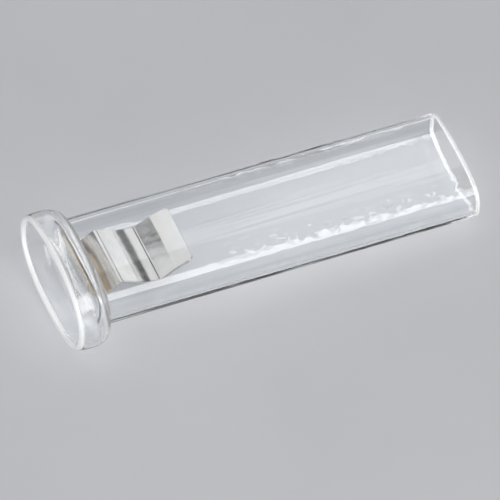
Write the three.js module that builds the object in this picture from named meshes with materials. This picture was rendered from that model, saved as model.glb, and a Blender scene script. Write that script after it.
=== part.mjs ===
// Glass guitar slide with an inner leaf spring.
//
// A clear glass tube, flattened to a rounded oval section and open at both ends.
// One end is flared into a hollow collar. A bent stainless strip hooks over the
// step inside the collar and reaches into the bore along the upper wall.
// Millimetres. +X runs along the tube from the collar to the plain end, +Y across
// the wide way of the section, +Z towards the wall that carries the spring.
// The origin is the centre of the whole slide.

import * as THREE from 'three';
import { mergeVertices } from 'three/addons/utils/BufferGeometryUtils.js';

// ---- driving dimensions -------------------------------------------------------

const LENGTH = 76;              // collar lip to plain end
const TUBE_HALF_WIDTH = 10.8;   // outer section, along Y
const TUBE_HALF_HEIGHT = 4.85;  // outer section, along Z, to its flats
const CROWN_TRIM = 0.08;        // how far the flats cut into the section's crown
const SECTION_POWER = 3;        // 2 is an ellipse, higher is squarer
const WALL = 1.3;

const COLLAR_HALF_WIDTH = 14;
const COLLAR_HALF_HEIGHT = 8.65;
const COLLAR_POWER = 2.15;      // the collar is rounder than the tube
const COLLAR_FLARE = COLLAR_HALF_WIDTH - TUBE_HALF_WIDTH;
const LIP_FLARE = COLLAR_FLARE - 0.25;
const COLLAR_BELLY = 2.6;       // lip to where the collar is widest
const SHOULDER_START = 3.3;     // lip to where the shoulder begins to round over
const COLLAR_LENGTH = 6.5;      // lip to the foot of the shoulder
const NECK_FILLET = 0.35;
const INNER_STEP = 5.35;        // lip to the face of the step inside the collar
const INNER_STEP_ROUND = 0.9;   // rounding where that step turns into the bore
const LIP_ROUND = 0.4;
const LIP_SWELL = 0.9;          // lip to where the collar swells out most quickly
const CUT_ROUND = 0.25;         // fire-polished edges of the plain end

const STRIP_WIDTH = 12.1;
const STRIP_THICKNESS = 0.35;
const LENGTH_GAP = 0.4;         // between neighbouring rigid lengths of the strip

const SECTION_STEPS = 56;       // around the tube
const RIM_SAMPLES = 2240;       // points that space those steps evenly round the section
const RING_RADIUS = 20;         // of the round ring that is warped to the section
const TUBE_STATIONS = 4;        // along the plain part of the tube
const OUTLINE_DIVISIONS = 2;    // of each curve in the wall's outline
const BEND_STEPS = 5;           // in each bend of the strip
const SAME_POINT = 1e-6;

// Bends of the strip's centre line as [x, z, bend radius], from the hook's tip
// to the free end.
const HOOK_TIP = [-33.35, 4.95, 0];
const HOOK_BEND = [-33.35, 2.5, 0.7];
const NECK_VALLEY = [-30.15, 0.1, 0.7];
const CREST = [-27.35, 2.1, 0.45];
const SAG = [-21.3, -0.24, 7];
const CREASE = [-19.85, -0.3, 0.6];
const REAR_BEND = [-16.95, 1.55, 0.8];
const FREE_END = [-13.9, 2.78, 0];

// Where along X the strip flexes: in the valley and just before the crease.
const FRONT_FLEX = NECK_VALLEY[0];
const REAR_FLEX = -20.3;

// ---- materials ----------------------------------------------------------------

const glass = new THREE.MeshStandardMaterial({
  color: 0xf2f5f7,
  roughness: 0.04,
  metalness: 0,
  transparent: true,
  opacity: 0.35,
});

function stainless() {
  return new THREE.MeshStandardMaterial({ color: 0xc9c6c1, roughness: 0.3, metalness: 1 });
}

// ---- glass body ---------------------------------------------------------------

function signedPower(value, power) {
  return Math.sign(value) * Math.abs(value) ** power;
}

// An outer section of the glass in the YZ plane, a superellipse whose crown is cut
// to a narrow flat above and below, so that the slide lies steady.
class Section extends THREE.Curve {
  constructor(halfWidth, halfHeight, power) {
    super();
    Object.assign(this, { halfWidth, halfHeight, power, crown: halfHeight + CROWN_TRIM });
  }

  at(cosine, sine, target = new THREE.Vector3()) {
    const height = this.crown * signedPower(sine, 2 / this.power);
    return target.set(
      this.halfWidth * signedPower(cosine, 2 / this.power),
      THREE.MathUtils.clamp(height, -this.halfHeight, this.halfHeight),
      0,
    );
  }

  getPoint(t, target) {
    const angle = t * 2 * Math.PI;
    return this.at(Math.cos(angle), Math.sin(angle), target);
  }

  // Cosine and sine of the curve's own angle at a point on it.
  angleOf(point) {
    const cosine = signedPower(point.x / this.halfWidth, this.power / 2);
    const sine = Math.sign(point.y) * Math.sqrt(Math.max(0, 1 - cosine ** 2));
    return [cosine, sine];
  }

  // Outward normal at a point on the curve.
  normalAt(point) {
    if (Math.abs(point.y) >= this.halfHeight) {
      return new THREE.Vector2(0, Math.sign(point.y));
    }
    return new THREE.Vector2(
      signedPower(point.x / this.halfWidth, this.power - 1) / this.halfWidth,
      signedPower(point.y / this.crown, this.power - 1) / this.crown,
    ).normalize();
  }
}

// Closed outline of the wall, as points (offset, along): offset is measured from
// the plain tube's outer surface and reaches COLLAR_FLARE on the collar's, along is
// measured from the lip.
function wallOutline() {
  const inner = COLLAR_FLARE - WALL;
  const innerLip = LIP_FLARE - WALL;
  const quarter = Math.PI / 2;
  const path = new THREE.Path();
  path.moveTo(innerLip + LIP_ROUND, 0);
  path.lineTo(LIP_FLARE - LIP_ROUND, 0);
  path.absarc(LIP_FLARE - LIP_ROUND, LIP_ROUND, LIP_ROUND, -quarter, 0);
  path.quadraticCurveTo(COLLAR_FLARE, LIP_SWELL, COLLAR_FLARE, COLLAR_BELLY);
  path.lineTo(COLLAR_FLARE, SHOULDER_START);
  const shoulder = COLLAR_LENGTH - SHOULDER_START;
  path.absellipse(NECK_FILLET, SHOULDER_START, COLLAR_FLARE - NECK_FILLET, shoulder, 0, quarter);
  path.absarc(NECK_FILLET, COLLAR_LENGTH + NECK_FILLET, NECK_FILLET, -quarter, -2 * quarter, true);
  const tubeStart = COLLAR_LENGTH + NECK_FILLET;
  const tubeEnd = LENGTH - CUT_ROUND;
  for (let i = 1; i <= TUBE_STATIONS; i += 1) {
    path.lineTo(0, tubeStart + ((tubeEnd - tubeStart) * i) / TUBE_STATIONS);
  }
  path.absarc(-CUT_ROUND, tubeEnd, CUT_ROUND, 0, quarter);
  path.lineTo(-WALL + CUT_ROUND, LENGTH);
  path.absarc(-WALL + CUT_ROUND, tubeEnd, CUT_ROUND, quarter, 2 * quarter);
  const boreStart = INNER_STEP + INNER_STEP_ROUND;
  for (let i = 1; i <= TUBE_STATIONS; i += 1) {
    path.lineTo(-WALL, tubeEnd + ((boreStart - tubeEnd) * i) / TUBE_STATIONS);
  }
  const stepFoot = -WALL + INNER_STEP_ROUND;
  path.absarc(stepFoot, boreStart, INNER_STEP_ROUND, 2 * quarter, 3 * quarter);
  const innerShoulder = INNER_STEP - SHOULDER_START;
  path.absellipse(stepFoot, SHOULDER_START, inner - stepFoot, innerShoulder, quarter, 0, true);
  path.lineTo(inner, COLLAR_BELLY);
  path.quadraticCurveTo(inner, LIP_SWELL, innerLip, LIP_ROUND);
  path.absarc(innerLip + LIP_ROUND, LIP_ROUND, LIP_ROUND, 2 * quarter, 3 * quarter);
  const points = path.getPoints(OUTLINE_DIVISIONS);
  return points.filter((p, i) => i === 0 || p.distanceTo(points[i - 1]) > SAME_POINT);
}

// The wall outline is turned into a ring, and each vertex of the ring is then moved
// from its circle to the flattened sections: inside the tube's outer surface it
// follows the tube's normal, and outside it goes from the tube's section to the
// collar's.
function glassBody() {
  const outline = wallOutline().map((p) => new THREE.Vector2(RING_RADIUS + p.x, p.y));
  outline[outline.length - 1].copy(outline[0]);
  const geometry = new THREE.LatheGeometry(outline, SECTION_STEPS);
  const tube = new Section(TUBE_HALF_WIDTH, TUBE_HALF_HEIGHT, SECTION_POWER);
  const collar = new Section(COLLAR_HALF_WIDTH, COLLAR_HALF_HEIGHT, COLLAR_POWER);
  tube.arcLengthDivisions = RIM_SAMPLES;
  const rim = tube.getSpacedPoints(SECTION_STEPS);
  const position = geometry.attributes.position;
  for (let i = 0; i < position.count; i += 1) {
    const x = position.getX(i);
    const z = position.getZ(i);
    const turn = Math.atan2(x, z) / (2 * Math.PI);
    const step = (Math.round(turn * SECTION_STEPS) + SECTION_STEPS) % SECTION_STEPS;
    const offset = Math.hypot(x, z) - RING_RADIUS;
    const place = rim[step].clone();
    if (offset > 0) {
      place.lerp(collar.at(...tube.angleOf(rim[step])), offset / COLLAR_FLARE);
    } else {
      const normal = tube.normalAt(rim[step]);
      place.x += offset * normal.x;
      place.y += offset * normal.y;
    }
    position.setXYZ(i, position.getY(i) - LENGTH / 2, place.x, place.y);
  }
  geometry.deleteAttribute('normal');
  geometry.deleteAttribute('uv');
  const closed = mergeVertices(geometry);
  closed.computeVertexNormals();
  const mesh = new THREE.Mesh(closed, glass);
  mesh.name = 'glass_body';
  return mesh;
}

// ---- leaf spring --------------------------------------------------------------

// Centre line through the bends, each rounded to its radius, as a polyline.
function centreLine(bends) {
  const at = bends.map(([x, z]) => new THREE.Vector2(x, z));
  const points = [at[0]];
  for (let i = 1; i < bends.length - 1; i += 1) {
    const before = at[i - 1].clone().sub(at[i]).normalize();
    const after = at[i + 1].clone().sub(at[i]).normalize();
    const halfAngle = Math.acos(THREE.MathUtils.clamp(before.dot(after), -1, 1)) / 2;
    const reach = bends[i][2] / Math.tan(halfAngle);
    const enter = at[i].clone().addScaledVector(before, reach);
    const leave = at[i].clone().addScaledVector(after, reach);
    const centre = at[i].clone().addScaledVector(
      before.clone().add(after).normalize(),
      bends[i][2] / Math.sin(halfAngle),
    );
    const from = enter.clone().sub(centre).angle();
    let sweep = leave.clone().sub(centre).angle() - from;
    sweep -= 2 * Math.PI * Math.round(sweep / (2 * Math.PI));
    for (let k = 0; k <= BEND_STEPS; k += 1) {
      const angle = from + (sweep * k) / BEND_STEPS;
      points.push(new THREE.Vector2(
        centre.x + bends[i][2] * Math.cos(angle),
        centre.y + bends[i][2] * Math.sin(angle),
      ));
    }
  }
  points.push(at[at.length - 1]);
  return points;
}

// The stretch of the centre line between two distances along X, cut square.
function stretch(line, fromX, toX) {
  const cut = (x) => {
    const i = line.findIndex((p, k) => k > 0 && line[k - 1].x <= x && p.x > x);
    const share = (x - line[i - 1].x) / (line[i].x - line[i - 1].x);
    return line[i - 1].clone().lerp(line[i], share);
  };
  const inside = line.filter((p) => p.x > fromX && p.x < toX);
  const start = fromX > line[0].x ? [cut(fromX)] : [];
  const end = toX < line[line.length - 1].x ? [cut(toX)] : [];
  return [...start, ...inside, ...end];
}

// A strip of the full width whose centre line is the given polyline.
function strip(name, line) {
  const half = STRIP_THICKNESS / 2;
  const side = (sign) => line.map((p, i) => {
    const before = line[Math.max(i - 1, 0)];
    const after = line[Math.min(i + 1, line.length - 1)];
    const into = i > 0 ? p.clone().sub(before).normalize() : after.clone().sub(p).normalize();
    const out = i < line.length - 1 ? after.clone().sub(p).normalize() : into;
    const along = into.clone().add(out).normalize();
    const reach = (sign * half) / along.dot(into);
    return new THREE.Vector2(p.x - along.y * reach, p.y + along.x * reach);
  });
  const outline = new THREE.Shape([...side(1), ...side(-1).reverse()]);
  const geometry = new THREE.ExtrudeGeometry(outline, { depth: STRIP_WIDTH, bevelEnabled: false });
  geometry.rotateX(Math.PI / 2);
  geometry.translate(0, STRIP_WIDTH / 2, 0);
  const mesh = new THREE.Mesh(geometry, stainless());
  mesh.name = name;
  return mesh;
}

// The strip as three rigid lengths that meet where it flexes: the hook over the
// inner step, the front arm down to the sag, and the rear arm to the free end.
function leafSpring() {
  const bends = [HOOK_TIP, HOOK_BEND, NECK_VALLEY, CREST, SAG, CREASE, REAR_BEND, FREE_END];
  const line = centreLine(bends);
  const halfGap = LENGTH_GAP / 2;
  const spring = new THREE.Group();
  spring.add(strip('spring_hook', stretch(line, -Infinity, FRONT_FLEX - halfGap)));
  const frontArm = stretch(line, FRONT_FLEX + halfGap, REAR_FLEX - halfGap);
  spring.add(strip('spring_front_arm', frontArm));
  spring.add(strip('spring_rear_arm', stretch(line, REAR_FLEX + halfGap, Infinity)));
  return spring;
}

// ---- assembly -----------------------------------------------------------------

const guitarSlide = new THREE.Group();
guitarSlide.add(glassBody());
guitarSlide.add(leafSpring());

export default guitarSlide;
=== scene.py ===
# Glass guitar slide with an inner leaf spring, on a pale studio floor.
#
# Metres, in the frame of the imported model: +X runs along the tube from the collar
# to the plain end, +Y across its wide way, +Z towards the wall with the spring.
import math

import bpy
import numpy as np
from mathutils import Matrix, Vector, noise

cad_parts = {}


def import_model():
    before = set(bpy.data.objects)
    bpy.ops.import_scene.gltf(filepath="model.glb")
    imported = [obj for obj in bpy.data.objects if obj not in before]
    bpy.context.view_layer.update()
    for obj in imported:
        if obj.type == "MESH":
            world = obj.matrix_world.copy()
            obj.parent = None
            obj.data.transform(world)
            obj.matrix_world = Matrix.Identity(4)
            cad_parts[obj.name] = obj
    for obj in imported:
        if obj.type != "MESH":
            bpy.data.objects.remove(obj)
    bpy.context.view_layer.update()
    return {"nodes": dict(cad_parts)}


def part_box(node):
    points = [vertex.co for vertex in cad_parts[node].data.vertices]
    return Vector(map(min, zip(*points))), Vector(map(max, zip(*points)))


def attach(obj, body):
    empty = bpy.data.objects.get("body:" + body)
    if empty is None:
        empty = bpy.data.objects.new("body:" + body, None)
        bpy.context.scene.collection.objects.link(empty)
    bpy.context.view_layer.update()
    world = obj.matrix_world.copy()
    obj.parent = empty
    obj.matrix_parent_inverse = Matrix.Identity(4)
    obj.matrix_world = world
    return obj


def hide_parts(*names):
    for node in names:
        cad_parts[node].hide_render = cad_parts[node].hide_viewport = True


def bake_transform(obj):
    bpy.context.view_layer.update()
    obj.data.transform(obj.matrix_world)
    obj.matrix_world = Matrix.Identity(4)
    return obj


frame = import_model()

MM = 0.001

# ---- dimensions -----------------------------------------------------------------

glass_low, glass_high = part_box("glass_body")
LENGTH = glass_high.x - glass_low.x
glass_points = [vertex.co for vertex in frame["nodes"]["glass_body"].data.vertices]
plain_end = [point for point in glass_points if point.x > 0.5 * glass_high.x]
TUBE_HALF_WIDTH = max(point.y for point in plain_end)
TUBE_HALF_HEIGHT = max(point.z for point in plain_end)
SECTION_POWER = 3

WALL = 1.3 * MM
COLLAR_POWER = 2.15
COLLAR_SHIFT = (-0.3 * MM, -0.15 * MM)  # the blown collar sits a little off centre
COLLAR_FLARE = glass_high.y - TUBE_HALF_WIDTH
LIP_FLARE = COLLAR_FLARE - 0.25 * MM
COLLAR_BELLY = 2.6 * MM
SHOULDER_START = 3.3 * MM
COLLAR_LENGTH = 6.5 * MM
NECK_FILLET = 0.35 * MM
INNER_STEP = 5.35 * MM
INNER_STEP_ROUND = 0.9 * MM
LIP_ROUND = 0.6 * MM
LIP_SWELL = 0.9 * MM
CUT_ROUND = 0.3 * MM
NOISE_STEP = (17.3, -8.1, 5.7)  # how far the noise moves on from one seed to the next

# how finely the glass is divided: round the section, along the tube and in the bore
RIM_STEPS = 224
TUBE_STATIONS = 200
BORE_STATIONS = 230

# Unevenness of the glass. The ripples lie on two lines along the tube, given by their
# Y and width, where the round tube was pressed flat. What starts somewhere is given as
# (where it starts, over how far it grows), measured from the lip.
RIPPLE_LINE = (-7.6 * MM, 1.5 * MM)
FAINT_RIPPLE_LINE = (8.5 * MM, 1.6 * MM)
FAINT_RIPPLE_SHARE = 0.2
LOWER_RIPPLE_SHARE = 0.25
BORE_RIPPLE = 0.24 * MM
BORE_DRAW = 0.05 * MM
BORE_SAG = 0.04 * MM
OUTER_RIPPLE = 0.16 * MM
OUTER_DRAW = 0.04 * MM
OUTER_SINK = 0.05 * MM  # leaves the ripples room inside the CAD outline
COLLAR_LUMPS = 0.035 * MM
CUT_JAG = 0.13 * MM
CUT_JAG_REACH = 1.6 * MM
ON_TUBE = (9 * MM, 6 * MM)
PAST_STRIP = (23 * MM, 10 * MM)

CREASE_X = -19.9
REAR_BEND_X = -16.95
# Bends of the strip's centre line as (x, z, bend radius), in millimetres, from the
# hook's tip to the free end. The strip flexes in the valley and before the crease.
STRIP_BENDS = [
    (-33.35, 4.95, 0),
    (-33.35, 2.5, 0.7),
    (-30.15, 0.1, 0.7),
    (-27.35, 2.1, 0.45),
    (-22.85, 0.07, 10),
    (-20.2, -0.22, 0.4),
    (CREASE_X, -0.32, 0.3),
    (REAR_BEND_X, 1.53, 0.8),
    (-13.9, 2.78, 0),
]
strip_low, strip_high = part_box("spring_front_arm")
STRIP_HALF_WIDTH = (strip_high.y - strip_low.y) / 2
STRIP_HALF_THICKNESS = 0.175 * MM
STRIP_JOIN_X = -24.0 * MM
CORNER_ROUND = 0.9 * MM
EDGE_ROUND = 0.11 * MM
LEAN = 0.2 * MM
LEAN_START = (-2.5 * MM, 8.5 * MM)  # across the strip, counted towards the near side

# ---- studio axes ----------------------------------------------------------------
# The slide lies on its collar and on the plain end, so its axis leans by TILT. It
# is turned by YAW from the camera's left-right line.

collar_depth = glass_high.z - COLLAR_SHIFT[1]
tube_depth = TUBE_HALF_HEIGHT - OUTER_SINK
TILT = math.atan2(collar_depth - tube_depth, LENGTH - SHOULDER_START)
YAW = math.radians(22.8)
CAMERA_ELEVATION = math.radians(51.3)
CAMERA_DISTANCE = 3.05
PICTURE_WIDTH = 86.0 * MM
# where the middle of the picture falls, from the middle of the slide
PICTURE_CENTRE = Vector((3.6 * MM, 0, 0))
PICTURE_OFFSET = (-3.95 * MM, -5.65 * MM)
SENSOR_WIDTH = 36
FLOOR_HALF_SIZE = 3.5

right = Vector((math.cos(YAW) * math.cos(TILT), -math.sin(YAW), math.cos(YAW) * math.sin(TILT)))
away = Vector((math.sin(YAW) * math.cos(TILT), math.cos(YAW), math.sin(YAW) * math.sin(TILT)))
up = Vector((-math.sin(TILT), 0, math.cos(TILT)))
studio = Matrix((right, away, up)).transposed().to_4x4()

# ---- node helpers ---------------------------------------------------------------


def new_material(name):
    material = bpy.data.materials.new(name)
    material.use_nodes = True
    tree = material.node_tree
    tree.nodes.clear()
    output = tree.nodes.new("ShaderNodeOutputMaterial")
    shader = tree.nodes.new("ShaderNodeBsdfPrincipled")
    tree.links.new(shader.outputs["BSDF"], output.inputs["Surface"])
    return material, tree, shader, output


def noise_value(tree, scale, stretch=(1, 1, 1), detail=3.0):
    """Noise over the object's own coordinates, finer for a larger scale."""
    coordinates = tree.nodes.new("ShaderNodeTexCoord")
    mapping = tree.nodes.new("ShaderNodeMapping")
    mapping.inputs["Scale"].default_value = stretch
    texture = tree.nodes.new("ShaderNodeTexNoise")
    texture.inputs["Scale"].default_value = scale
    texture.inputs["Detail"].default_value = detail
    tree.links.new(coordinates.outputs["Object"], mapping.inputs["Vector"])
    tree.links.new(mapping.outputs["Vector"], texture.inputs["Vector"])
    return texture.outputs["Fac"]


def mapped(tree, value, low, high, start=0.3, end=0.7):
    """The value spread from start..end to low..high."""
    node = tree.nodes.new("ShaderNodeMapRange")
    node.inputs["From Min"].default_value = start
    node.inputs["From Max"].default_value = end
    node.inputs["To Min"].default_value = low
    node.inputs["To Max"].default_value = high
    tree.links.new(value, node.inputs["Value"])
    return node.outputs["Result"]


def ramp(tree, value, stops):
    """The value as a colour, between stops of (position, colour)."""
    node = tree.nodes.new("ShaderNodeValToRGB")
    elements = node.color_ramp.elements
    while len(elements) < len(stops):
        elements.new(0.5)
    for element, (position, color) in zip(elements, stops):
        element.position = position
        element.color = (*color, 1)
    tree.links.new(value, node.inputs["Fac"])
    return node.outputs["Color"]


def combined(tree, operation, first, second):
    """Two values through a Math node."""
    node = tree.nodes.new("ShaderNodeMath")
    node.operation = operation
    tree.links.new(first, node.inputs[0])
    tree.links.new(second, node.inputs[1])
    return node.outputs["Value"]


def mixed(tree, share, first, second):
    """The first shader, with a share of the second."""
    node = tree.nodes.new("ShaderNodeMixShader")
    for socket, source in zip(node.inputs, (share, first, second)):
        tree.links.new(source, socket)
    return node.outputs["Shader"]


def bump(tree, value, strength, distance, before=None):
    """A normal, roughened on top of the normal before it."""
    node = tree.nodes.new("ShaderNodeBump")
    node.inputs["Strength"].default_value = strength
    node.inputs["Distance"].default_value = distance
    tree.links.new(value, node.inputs["Height"])
    if before is not None:
        tree.links.new(before, node.inputs["Normal"])
    return node.outputs["Normal"]


# ---- materials ------------------------------------------------------------------

# shares of white scatter painted onto the glass as highlight, on the rims and on the shoulder's
# fold
RIM_HIGHLIGHT_WHITE = 0.85
FOLD_HIGHLIGHT_WHITE = 0.2
GLASS_IOR = 1.48
# painted reflection and shade: a warm tint on the strip near the hook, fading out along it
HOOK_REFLECTION_SHADE_TINT = (0.94, 0.87, 0.79, 1)
HOOK_REFLECTION_SHADE_FADE = (-29.4 * MM, -27.8 * MM)


def along_object(tree):
    """The object's own X at each point, in metres."""
    coordinates = tree.nodes.new("ShaderNodeTexCoord")
    parts = tree.nodes.new("ShaderNodeSeparateXYZ")
    tree.links.new(coordinates.outputs["Object"], parts.inputs["Vector"])
    return parts.outputs["X"]


def clear_glass():
    material, tree, shader, output = new_material("clear_glass")
    shader.inputs["Transmission Weight"].default_value = 1.0
    shader.inputs["IOR"].default_value = GLASS_IOR
    tint = ramp(
        tree,
        noise_value(tree, 120, (0.2, 1, 1)),
        [(0.3, (0.965, 0.975, 0.985)), (0.7, (0.99, 0.995, 1.0))],
    )
    tree.links.new(tint, shader.inputs["Base Color"])
    smear = mapped(tree, noise_value(tree, 260, (0.4, 1, 1)), 0.0, 0.012)
    tree.links.new(smear, shader.inputs["Roughness"])
    draw_lines = bump(tree, noise_value(tree, 900, (0.04, 1, 1), detail=1), 0.3, 0.02 * MM)
    orange_peel = bump(tree, noise_value(tree, 420, detail=1), 0.12, 0.04 * MM, draw_lines)
    tree.links.new(orange_peel, shader.inputs["Normal"])

    # The rims of both ends and the shoulder's fold look white, because light gathers in them. A
    # share of white scatter stands in for it as a painted highlight; at the cracked plain end it
    # is partly the rough edge's own white.
    white = tree.nodes.new("ShaderNodeBsdfPrincipled")
    white.inputs["Base Color"].default_value = (0.95, 0.95, 0.95, 1)
    white.inputs["Roughness"].default_value = 0.35
    x = along_object(tree)
    lip = mapped(tree, x, RIM_HIGHLIGHT_WHITE, 0, glass_low.x + 0.45 * MM, glass_low.x + 0.85 * MM)
    cut = mapped(tree, x, 0, RIM_HIGHLIGHT_WHITE, glass_high.x - 0.8 * MM, glass_high.x - 0.5 * MM)
    foot = glass_low.x + COLLAR_LENGTH
    fold_front = mapped(tree, x, 0, FOLD_HIGHLIGHT_WHITE, foot - 2.2 * MM, foot - 1.5 * MM)
    fold_back = mapped(tree, x, FOLD_HIGHLIGHT_WHITE, 0, foot - 0.5 * MM, foot)
    fold = combined(tree, "MINIMUM", fold_front, fold_back)
    ends = combined(tree, "MAXIMUM", lip, cut)
    highlight_white_share = combined(tree, "MAXIMUM", ends, fold)
    surface = mixed(tree, highlight_white_share, shader.outputs["BSDF"], white.outputs["BSDF"])

    # light falls through clear glass, so its shadow is only a pale grey
    shadow = tree.nodes.new("ShaderNodeBsdfTransparent")
    shadow.inputs["Color"].default_value = (0.93, 0.935, 0.94, 1)
    path = tree.nodes.new("ShaderNodeLightPath")
    surface = mixed(tree, path.outputs["Is Shadow Ray"], surface, shadow.outputs["BSDF"])
    tree.links.new(surface, output.inputs["Surface"])
    return material


def spring_steel():
    material, tree, shader, _ = new_material("spring_steel")
    shader.inputs["Metallic"].default_value = 1.0
    tone = ramp(
        tree,
        noise_value(tree, 190, (1, 0.5, 1), detail=2),
        [(0.3, (0.70, 0.68, 0.64)), (0.5, (0.78, 0.77, 0.75)), (0.72, (0.83, 0.83, 0.82))],
    )
    # a faint warm tint near the hook: a painted reflection of the collar's inner step and painted
    # shade from the collar
    reflection_shade_tint = tree.nodes.new("ShaderNodeMixRGB")
    reflection_shade_tint.blend_type = "MULTIPLY"
    reflection_shade_tint.inputs["Color2"].default_value = HOOK_REFLECTION_SHADE_TINT
    hook_end = mapped(tree, along_object(tree), 1, 0, *HOOK_REFLECTION_SHADE_FADE)
    tree.links.new(hook_end, reflection_shade_tint.inputs["Fac"])
    tree.links.new(tone, reflection_shade_tint.inputs["Color1"])
    tree.links.new(reflection_shade_tint.outputs["Color"], shader.inputs["Base Color"])
    satin = mapped(tree, noise_value(tree, 1500, (0.06, 1, 1), detail=4), 0.10, 0.19)
    tree.links.new(satin, shader.inputs["Roughness"])
    rolling = bump(tree, noise_value(tree, 5200, (0.03, 1, 0.03), detail=2), 0.10, 0.01 * MM)
    waves = bump(tree, noise_value(tree, 170, detail=1), 0.06, 0.12 * MM, rolling)
    tree.links.new(waves, shader.inputs["Normal"])
    return material


def floor_paper():
    material, tree, shader, _ = new_material("floor_paper")
    shader.inputs["Roughness"].default_value = 0.75
    shader.inputs["Specular IOR Level"].default_value = 0.25
    tone = ramp(
        tree,
        noise_value(tree, 30, detail=5),
        [(0.3, (0.57, 0.575, 0.59)), (0.7, (0.59, 0.595, 0.61))],
    )
    tree.links.new(tone, shader.inputs["Base Color"])
    return material


# ---- glass body -----------------------------------------------------------------


def arc(centre, radii, start, end, steps):
    """Points of an ellipse's arc, angles in quarter turns, both ends included."""
    turns = np.linspace(start, end, steps + 1) * math.pi / 2
    return np.array(centre) + np.array(radii) * np.stack([np.cos(turns), np.sin(turns)], 1)


def line(start, end, steps):
    return np.linspace(start, end, steps + 1)


def long_line(start, end, steps):
    """A line with an extra point close to each end, so that the rounding beside it
    keeps its own shading."""
    points = line(start, end, steps)
    close = 0.08 * (points[1] - points[0])
    return np.insert(points, [1, steps], [points[0] + close, points[-1] - close], axis=0)


def swell(start, control, end, steps):
    """A quadratic curve."""
    start, control, end = np.array(start), np.array(control), np.array(end)
    t = np.linspace(0, 1, steps + 1)[:, None]
    return (1 - t) ** 2 * start + 2 * t * (1 - t) * control + t**2 * end


def distances(points):
    """How far along a line of points each of them lies."""
    return np.concatenate([[0], np.cumsum(np.linalg.norm(np.diff(points, axis=0), axis=1))])


def points_at(wanted, travelled, points):
    """Points of a line at the wanted distances along it."""
    return np.stack([np.interp(wanted, travelled, points[:, k]) for k in range(2)], 1)


def wall_outline():
    """Closed outline of the wall as points (offset, along): offset outwards from the
    plain tube's outer surface, along from the lip."""
    inner = COLLAR_FLARE - WALL
    inner_lip = LIP_FLARE - WALL
    tube_start = COLLAR_LENGTH + NECK_FILLET
    tube_end = LENGTH - CUT_ROUND
    bore_start = INNER_STEP + INNER_STEP_ROUND
    step_foot = INNER_STEP_ROUND - WALL
    parts = [
        line((inner_lip + LIP_ROUND, 0), (LIP_FLARE - LIP_ROUND, 0), 2),
        arc((LIP_FLARE - LIP_ROUND, LIP_ROUND), (LIP_ROUND, LIP_ROUND), -1, 0, 8),
        swell((LIP_FLARE, LIP_ROUND), (COLLAR_FLARE, LIP_SWELL), (COLLAR_FLARE, COLLAR_BELLY), 10),
        line((COLLAR_FLARE, COLLAR_BELLY), (COLLAR_FLARE, SHOULDER_START), 4),
        arc(
            (NECK_FILLET, SHOULDER_START),
            (COLLAR_FLARE - NECK_FILLET, COLLAR_LENGTH - SHOULDER_START),
            0, 1, 18,
        ),
        arc((NECK_FILLET, tube_start), (NECK_FILLET, NECK_FILLET), -1, -2, 6),
        long_line((0, tube_start), (0, tube_end), TUBE_STATIONS),
        arc((-CUT_ROUND, tube_end), (CUT_ROUND, CUT_ROUND), 0, 1, 6),
        line((-CUT_ROUND, LENGTH), (CUT_ROUND - WALL, LENGTH), 3),
        arc((CUT_ROUND - WALL, tube_end), (CUT_ROUND, CUT_ROUND), 1, 2, 6),
        long_line((-WALL, tube_end), (-WALL, bore_start), BORE_STATIONS),
        arc((step_foot, bore_start), (INNER_STEP_ROUND, INNER_STEP_ROUND), 2, 3, 10),
        arc(
            (step_foot, SHOULDER_START),
            (inner - step_foot, INNER_STEP - SHOULDER_START),
            1, 0, 14,
        ),
        line((inner, SHOULDER_START), (inner, COLLAR_BELLY), 4),
        swell((inner, COLLAR_BELLY), (inner, LIP_SWELL), (inner_lip, LIP_ROUND), 10),
        arc((inner_lip + LIP_ROUND, LIP_ROUND), (LIP_ROUND, LIP_ROUND), 2, 3, 8),
    ]
    points = np.concatenate(parts)
    step = np.linalg.norm(points - np.roll(points, 1, axis=0), axis=1)
    return points[step > 1e-3 * MM]


def superellipse(turns, half_width, half_height, power):
    across, upward = np.cos(turns), np.sin(turns)
    return np.stack([
        half_width * np.sign(across) * np.abs(across) ** (2 / power),
        half_height * np.sign(upward) * np.abs(upward) ** (2 / power),
    ], 1)


def section_rims():
    """Evenly spaced points round the tube's outer section, their normals, and the
    points of the collar's outer section that they flare out to."""
    turns = np.linspace(0, 2 * math.pi, 8001)
    fine = superellipse(turns, TUBE_HALF_WIDTH, TUBE_HALF_HEIGHT, SECTION_POWER)
    travelled = distances(fine)
    turns = np.interp(np.arange(RIM_STEPS) / RIM_STEPS * travelled[-1], travelled, turns)
    points = superellipse(turns, TUBE_HALF_WIDTH, TUBE_HALF_HEIGHT, SECTION_POWER)
    half = np.array([TUBE_HALF_WIDTH, TUBE_HALF_HEIGHT])
    slope = np.sign(points) * np.abs(points / half) ** (SECTION_POWER - 1) / half
    collar = superellipse(turns, glass_high.y, glass_high.z, COLLAR_POWER) + COLLAR_SHIFT
    return points, slope / np.linalg.norm(slope, axis=1)[:, None], collar


def bell(value, centre, width):
    return np.exp(-(((value - centre) / width) ** 2))


def fade_in(value, start, reach):
    """0 up to the start, then rising to 1 over the reach."""
    return np.clip((value - start) / reach, 0, 1)


def noise_field(points, size, seed):
    """Smooth noise from -1 to 1 at each point, for feature sizes given per axis."""
    offset = np.array(NOISE_STEP) * seed
    return np.array([noise.noise(p) for p in points / np.array(size) + offset])


def rough_noise(points, sizes, seeds):
    """Coarse noise with 0.6 of a finer one, alike across the tube's two other axes."""
    coarse, fine = (
        noise_field(points, (along, across, across), seed)
        for (along, across), seed in zip(sizes, seeds)
    )
    return coarse + 0.6 * fine


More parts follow.
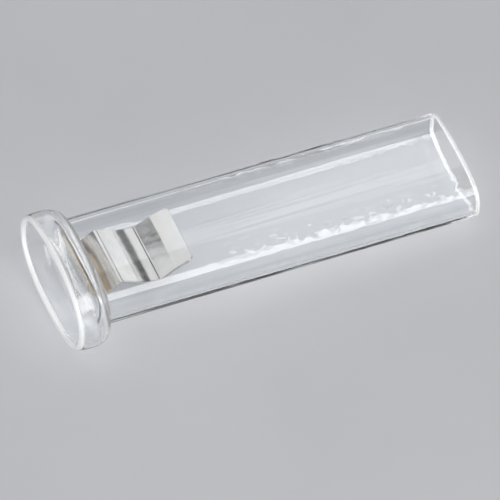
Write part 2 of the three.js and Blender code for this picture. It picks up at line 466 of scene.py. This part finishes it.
def glass_body():
    outline = wall_outline()
    rim, normal, collar = section_rims()
    offset = outline[:, 0]
    at = np.empty((len(outline), RIM_STEPS, 3))
    at[:, :, 0] = outline[:, 1, None] - LENGTH / 2
    inward = np.minimum(offset, 0)[:, None, None] * normal
    flared = (np.maximum(offset, 0) / COLLAR_FLARE)[:, None, None] * (collar - rim)
    at[:, :, 1:] = rim + inward + flared
    flat = at.reshape(-1, 3)
    along = np.repeat(outline[:, 1], RIM_STEPS)
    depth = np.repeat(offset, RIM_STEPS)
    across = np.tile(rim, (len(outline), 1))
    facing = np.tile(normal, (len(outline), 1))

    # hand-drawn glass: lengthwise draw lines, and sharp ripples where the round tube
    # was pressed flat, stronger in the bore than outside; both are calmer over the strip
    on_tube = fade_in(along, *ON_TUBE)
    past_strip = fade_in(along, *PAST_STRIP)
    pressed = bell(across[:, 0], *RIPPLE_LINE)
    pressed += FAINT_RIPPLE_SHARE * bell(across[:, 0], *FAINT_RIPPLE_LINE)
    pressed *= np.where(across[:, 1] > 0, 1, LOWER_RIPPLE_SHARE) * past_strip

    ripple = rough_noise(flat, ((2.8 * MM, 1.5 * MM), (1.3 * MM, 0.8 * MM)), (1, 2))
    draw = noise_field(flat, (34 * MM, 0.9 * MM, 0.9 * MM), 3) * (0.25 + 0.75 * past_strip)
    sag = noise_field(flat, (14 * MM, 5 * MM, 5 * MM), 4)
    in_bore = on_tube * bell(depth, -WALL, 0.3 * MM)
    inner_move = in_bore * (BORE_RIPPLE * pressed * ripple + BORE_DRAW * draw + BORE_SAG * sag)

    wave = rough_noise(flat, ((2.3 * MM, 1.3 * MM), (1.1 * MM, 0.8 * MM)), (7, 8))
    outer_draw = noise_field(flat, (40 * MM, 1.7 * MM, 1.7 * MM), 9) * (0.3 + 0.7 * past_strip)
    outside = on_tube * np.clip(1 + depth / WALL, 0, 1)
    outer_move = outside * (OUTER_RIPPLE * pressed * wave + OUTER_DRAW * outer_draw - OUTER_SINK)

    # the blown collar's inside is lumpy, from 1 mm in to the shoulder
    in_collar = fade_in(along, MM, MM) * fade_in(-along, -8 * MM, 2 * MM)
    lumps = noise_field(flat, (3.0 * MM, 3.6 * MM, 3.6 * MM), 5)
    wall_side = bell(depth, COLLAR_FLARE - WALL, 1.2 * MM)
    collar_move = COLLAR_LUMPS * in_collar * wall_side * lumps
    move = inner_move + outer_move + collar_move
    flat[:, 1] += move * facing[:, 0]
    flat[:, 2] += move * facing[:, 1]

    # the plain end was cracked off by hand, and is slightly uneven
    near_cut = fade_in(along, LENGTH - CUT_JAG_REACH, CUT_JAG_REACH) ** 2
    jag = noise_field(flat, (50 * MM, 1.8 * MM, 1.8 * MM), 6) + 1
    jag += 0.7 * noise_field(flat, (50 * MM, 0.9 * MM, 0.9 * MM), 10)
    flat[:, 0] -= near_cut * CUT_JAG * np.maximum(jag, 0)

    count = len(outline)
    i, k = np.meshgrid(np.arange(count), np.arange(RIM_STEPS), indexing="ij")
    i_next, k_next = (i + 1) % count, (k + 1) % RIM_STEPS
    row, next_row = i * RIM_STEPS, i_next * RIM_STEPS
    faces = np.stack([row + k, row + k_next, next_row + k_next, next_row + k], -1).reshape(-1, 4)
    return mesh_piece("glass_tube", flat, faces, clear_glass())


def mesh_piece(name, points, faces, material):
    """A smooth-shaded object from an array of points and the faces between them."""
    faces = faces.tolist() if isinstance(faces, np.ndarray) else faces
    mesh = bpy.data.meshes.new(name)
    mesh.from_pydata(points.tolist(), [], faces)
    mesh.materials.append(material)
    mesh.shade_smooth()
    mesh.validate()
    piece = bpy.data.objects.new(name, mesh)
    bpy.context.scene.collection.objects.link(piece)
    return piece


# ---- leaf spring ----------------------------------------------------------------


def strip_line():
    """Centre line of the strip in the XZ plane, with its bends rounded."""
    at = [np.array(bend[:2]) * MM for bend in STRIP_BENDS]
    points = [at[0]]
    for i in range(1, len(at) - 1):
        radius = STRIP_BENDS[i][2] * MM
        before = (at[i - 1] - at[i]) / np.linalg.norm(at[i - 1] - at[i])
        after = (at[i + 1] - at[i]) / np.linalg.norm(at[i + 1] - at[i])
        half = math.acos(before @ after) / 2
        middle = (before + after) / np.linalg.norm(before + after)
        centre = at[i] + middle * radius / math.sin(half)
        enter = at[i] + before * radius / math.tan(half) - centre
        leave = at[i] + after * radius / math.tan(half) - centre
        start = math.atan2(enter[1], enter[0])
        sweep = math.remainder(math.atan2(leave[1], leave[0]) - start, 2 * math.pi)
        for turn in start + sweep * np.linspace(0, 1, 15):
            points.append(centre + radius * np.array([math.cos(turn), math.sin(turn)]))
    points.append(at[-1])
    return np.array(points)


def resampled(points, step):
    """The same line in even steps."""
    travelled = distances(points)
    wanted = np.linspace(0, travelled[-1], int(travelled[-1] / step) + 1)
    return points_at(wanted, travelled, points)


def rounded_end(distance, radius):
    """How far a rounded corner has drawn in, at a distance from the end."""
    d = np.clip(distance, 0, radius)
    return radius - np.sqrt(np.maximum(radius**2 - (radius - d) ** 2, 0))


def rounded_rectangle(half_width, half_height, radius):
    """Points round a strip's section, with a close pair beside each rounded edge."""
    flat = half_width - radius
    across = [0.99, 0.96, *np.linspace(0.9, -0.9, 25), -0.96, -0.99]
    quarter = np.linspace(0, math.pi / 2, 5)
    ring = []
    for side in (1, -1):
        ring += [(side * y * flat, side * half_height) for y in across]
        for start in (1, 2):
            y, z = -side * flat, side * (half_height - radius) * (3 - 2 * start)
            turns = quarter + start * math.pi / 2 + (0 if side > 0 else math.pi)
            ring += [(y + radius * math.cos(turn), z + radius * math.sin(turn)) for turn in turns]
    return ring


def strip(centre, open_ends):
    """A strip along the centre line, with rounded edges. open_ends says which ends
    are real ends of the strip, with rounded corners, and not a join."""
    travelled = distances(centre)
    fine = [0.02, 0.05, 0.09, 0.15, 0.25, 0.4, 0.6]
    wanted = set(travelled)
    if open_ends[0]:
        wanted |= {share * CORNER_ROUND for share in fine}
    if open_ends[1]:
        wanted |= {travelled[-1] - share * CORNER_ROUND for share in fine}
    wanted = np.array(sorted(wanted))
    path = points_at(wanted, travelled, centre)
    tangent = np.gradient(path, wanted, axis=0)
    tangent /= np.linalg.norm(tangent, axis=1)[:, None]
    upward = np.stack([-tangent[:, 1], tangent[:, 0]], 1)
    to_end = np.full(len(wanted), travelled[-1])
    if open_ends[0]:
        to_end = np.minimum(to_end, wanted)
    if open_ends[1]:
        to_end = np.minimum(to_end, travelled[-1] - wanted)
    half_width = STRIP_HALF_WIDTH - rounded_end(to_end, CORNER_ROUND)
    half_thick = STRIP_HALF_THICKNESS - rounded_end(to_end, EDGE_ROUND)

    points, faces = [], []
    for (x, z), (nx, nz), hw, ht in zip(path, upward, half_width, half_thick):
        ring = rounded_rectangle(hw, ht, min(EDGE_ROUND, 0.9 * ht))
        points += [(x + nx * h, y, z + nz * h) for y, h in ring]
        size = len(ring)
    for i in range(len(path) - 1):
        for k in range(size):
            n = (k + 1) % size
            faces.append((i * size + k, i * size + n, (i + 1) * size + n, (i + 1) * size + k))
    faces.append(tuple(range(size - 1, -1, -1)))
    faces.append(tuple(range((len(path) - 1) * size, len(path) * size)))
    return np.array(points), faces


def leaning(points):
    """Behind the crease the strip rises a little less towards its near side."""
    panel_share = fade_in(points[:, 0], CREASE_X * MM, (REAR_BEND_X - CREASE_X) * MM)
    near_share = fade_in(-points[:, 1], *LEAN_START)
    points[:, 2] -= LEAN * panel_share * near_share
    return points


def leaf_spring():
    steel = spring_steel()
    centre = resampled(strip_line(), 0.12 * MM)
    front = centre[centre[:, 0] < STRIP_JOIN_X]
    rear = centre[centre[:, 0] > STRIP_JOIN_X]
    seam = np.array([[STRIP_JOIN_X, np.interp(STRIP_JOIN_X, centre[:, 0], centre[:, 1])]])
    front = np.concatenate([front, seam])
    rear = np.concatenate([seam, rear])
    pieces = []
    for name, part, ends in (
        ("spring_front_strip", front, (True, False)),
        ("spring_rear_strip", rear, (False, True)),
    ):
        points, faces = strip(part, ends)
        pieces.append(mesh_piece(name, leaning(points), faces, steel))
    return pieces


# ---- the object -----------------------------------------------------------------

tube = glass_body()
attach(tube, "slide")
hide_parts("glass_body")

front_strip, rear_strip = leaf_spring()
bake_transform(front_strip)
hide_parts("spring_hook", "spring_front_arm")
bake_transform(rear_strip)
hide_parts("spring_rear_arm")

# ---- studio ---------------------------------------------------------------------


def floor():
    """A plane in the studio, level with the slide's lowest point."""
    half = FLOOR_HALF_SIZE
    height = min(up.dot(vertex.co) for vertex in tube.data.vertices)
    corners = [(-half, -half), (half, -half), (half, half), (-half, half)]
    points = np.array([tuple(studio @ Vector((x, y, height))) for x, y in corners])
    piece = mesh_piece("floor", points, [(0, 1, 2, 3)], floor_paper())


def softbox(name, azimuth, elevation, distance, size, watts):
    """A soft light aimed at the slide. Azimuth is measured to the right from the
    direction away from the camera, in degrees."""
    data = bpy.data.lights.new(name, "AREA")
    data.shape = "RECTANGLE"
    data.size, data.size_y = size
    data.energy = watts
    light = bpy.data.objects.new(name, data)
    bpy.context.scene.collection.objects.link(light)
    a, e = math.radians(azimuth), math.radians(elevation)
    direction = Vector((math.sin(a) * math.cos(e), math.cos(a) * math.cos(e), math.sin(e)))
    place = studio @ (direction * distance)
    light.matrix_world = look_at(place, Vector((0, 0, 0)))
    light.visible_camera = False


def look_at(place, target):
    """Placement whose -Z points at the target, upright in the studio."""
    back = (place - target).normalized()
    side = up.cross(back).normalized()
    top = back.cross(side)
    turn = Matrix((side, top, back)).transposed().to_4x4()
    return Matrix.Translation(place) @ turn


def world():
    """Bright near the horizon, like a ring of white card, and dim above."""
    surroundings = bpy.data.worlds.new("studio")
    surroundings.use_nodes = True
    tree = surroundings.node_tree
    coordinates = tree.nodes.new("ShaderNodeTexCoord")
    height = tree.nodes.new("ShaderNodeVectorMath")
    height.operation = "DOT_PRODUCT"
    height.inputs[1].default_value = up
    tree.links.new(coordinates.outputs["Generated"], height.inputs[0])
    sky = ramp(tree, height.outputs["Value"], [
        (0.0, (0.85, 0.87, 0.9)),
        (0.2, (0.8, 0.82, 0.86)),
        (0.32, (0.07, 0.073, 0.08)),
        (1.0, (0.07, 0.073, 0.08)),
    ])
    background = tree.nodes["Background"]
    tree.links.new(sky, background.inputs["Color"])
    bpy.context.scene.world = surroundings


def camera():
    data = bpy.data.cameras.new("camera")
    data.sensor_width = SENSOR_WIDTH
    data.lens = SENSOR_WIDTH * CAMERA_DISTANCE / PICTURE_WIDTH
    data.clip_end = 20
    eye = bpy.data.objects.new("camera", data)
    bpy.context.scene.collection.objects.link(eye)
    back = up * math.sin(CAMERA_ELEVATION) - away * math.cos(CAMERA_ELEVATION)
    top = up * math.cos(CAMERA_ELEVATION) + away * math.sin(CAMERA_ELEVATION)
    place = PICTURE_CENTRE + right * PICTURE_OFFSET[0] + top * PICTURE_OFFSET[1]
    place += back * CAMERA_DISTANCE
    turn = Matrix((right, top, back)).transposed().to_4x4()
    eye.matrix_world = Matrix.Translation(place) @ turn
    bpy.context.scene.camera = eye


floor()
softbox("top_softbox", -22, 51, 1.2, (1.5, 0.46), 2.0)
softbox("back_light", 30, 16, 1.2, (0.8, 0.4), 0.85)
softbox("left_strip", -100, 14, 1.0, (1.4, 0.4), 1.6)
softbox("right_strip", 95, 14, 1.0, (1.4, 0.4), 2.2)
softbox("front_strip", 178, 12, 1.2, (1.6, 0.4), 2.4)
softbox("front_fill", 150, 55, 1.3, (0.9, 0.8), 9.5)
softbox("left_fill", 222, 34, 1.3, (0.7, 0.6), 3.5)
world()
camera()

bpy.context.scene.view_settings.view_transform = "Standard"
